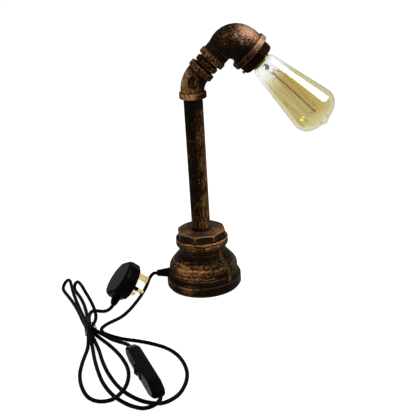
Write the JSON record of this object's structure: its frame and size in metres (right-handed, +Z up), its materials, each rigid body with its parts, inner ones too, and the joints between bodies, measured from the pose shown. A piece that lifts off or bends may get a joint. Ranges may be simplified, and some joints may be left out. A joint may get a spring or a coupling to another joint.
{
  "type": "table lamp",
  "caption": "Industrial pipe table lamp: cast bell base, upright pipe, slanted elbow neck, large squirrel-cage bulb pointing down, hanked cord with in-line switch and three-pin plug.",
  "frame": {"origin": "centre of the underside of the base, on the surface it stands on", "axes": "+Z up the post; +X the way the bulb points; +Y to the back of the pictured view"},
  "size_m": [0.381, 0.3539, 0.3521],
  "materials": {
    "casting": "rubbed dark bronze over near-black",
    "pipe": "rubbed dark bronze over near-black",
    "collar_paint": "very dark red-brown paint",
    "felt": "black felt",
    "black_plastic": "semi-gloss black",
    "cord": "black PVC, semi-matt",
    "brass": "bright",
    "steel": "zinc plated",
    "bakelite": "dark brown phenolic",
    "carrier": "black",
    "amber_glass": "clear amber",
    "clear_glass": "clear",
    "wire": "dull nickel",
    "carbon": "dark brown carbon",
    "cap_glass": "black vitrite",
    "tin": "solder",
    "copper_green": "green and yellow sleeve"
  },
  "bodies": {
    "stand": {"base_felt": "felt", "base_reducer": "casting", "octagon_bushing": "casting", "post_pipe": "pipe", "cord_gland": "black_plastic", "gland_nut": "black_plastic", "earth_screw": "brass", "earth_tag": "tin", "earth_core": "copper_green", "lead_stand": "cord", "cord_lamp_lead": "cord", "cord_hank": "cord", "cord_plug_lead": "cord", "cord_tie": "cord", "switch_base": "black_plastic", "switch_cover": "black_plastic", "switch_pin": "steel", "switch_screws": "steel", "switch_terminals": "brass", "plug_body": "black_plastic", "plug_grip": "black_plastic", "plug_earth_pin": "brass", "plug_line_pins": "brass", "plug_sleeves": "black_plastic"},
    "arm": {"elbow_45": "casting", "hex_nipple": "casting", "lead_arm": "cord"},
    "head": {"elbow_90": "casting", "holder_collar": "collar_paint", "grub_screw": "collar_paint", "holder_body": "bakelite", "holder_shell": "brass", "holder_contact": "brass", "holder_terminals": "brass", "lead_head": "cord"},
    "bulb": {"bulb_glass": "amber_glass", "bulb_cap": "brass", "cap_insulator": "cap_glass", "cap_contact": "tin", "bulb_stem": "clear_glass", "bulb_wires": "wire", "filament": "carbon"},
    "rocker": {"switch_rocker": "black_plastic"},
    "fuse_drawer": {"fuse_carrier": "carrier", "fuse": "steel"}
  },
  "joints": [
    {"name": "arm_swivel", "type": "hinge", "parent": "stand", "child": "arm", "pos_m": [0, 0, 0.2614], "axis": [0, 0, 1], "range_deg": [-90, 90]},
    {"name": "head_swivel", "type": "hinge", "parent": "arm", "child": "head", "pos_m": [0, 0, 0.2834], "axis": [0.7071, 0, 0.7071], "range_deg": [-90, 90]},
    {"name": "bulb_unscrew", "type": "slide", "parent": "head", "child": "bulb", "axis": [0.7071, 0, -0.7071], "range_m": [0, 0.03]},
    {"name": "rocker_tilt", "type": "hinge", "parent": "stand", "child": "rocker", "pos_m": [-0.07503, -0.23607, 0.01], "axis": [0, 0, 1], "range_deg": [-14, 0]},
    {"name": "fuse_drawer_slide", "type": "slide", "parent": "stand", "child": "fuse_drawer", "axis": [0.7322, 0.1721, -0.659], "range_m": [0, 0.012]}
  ]
}
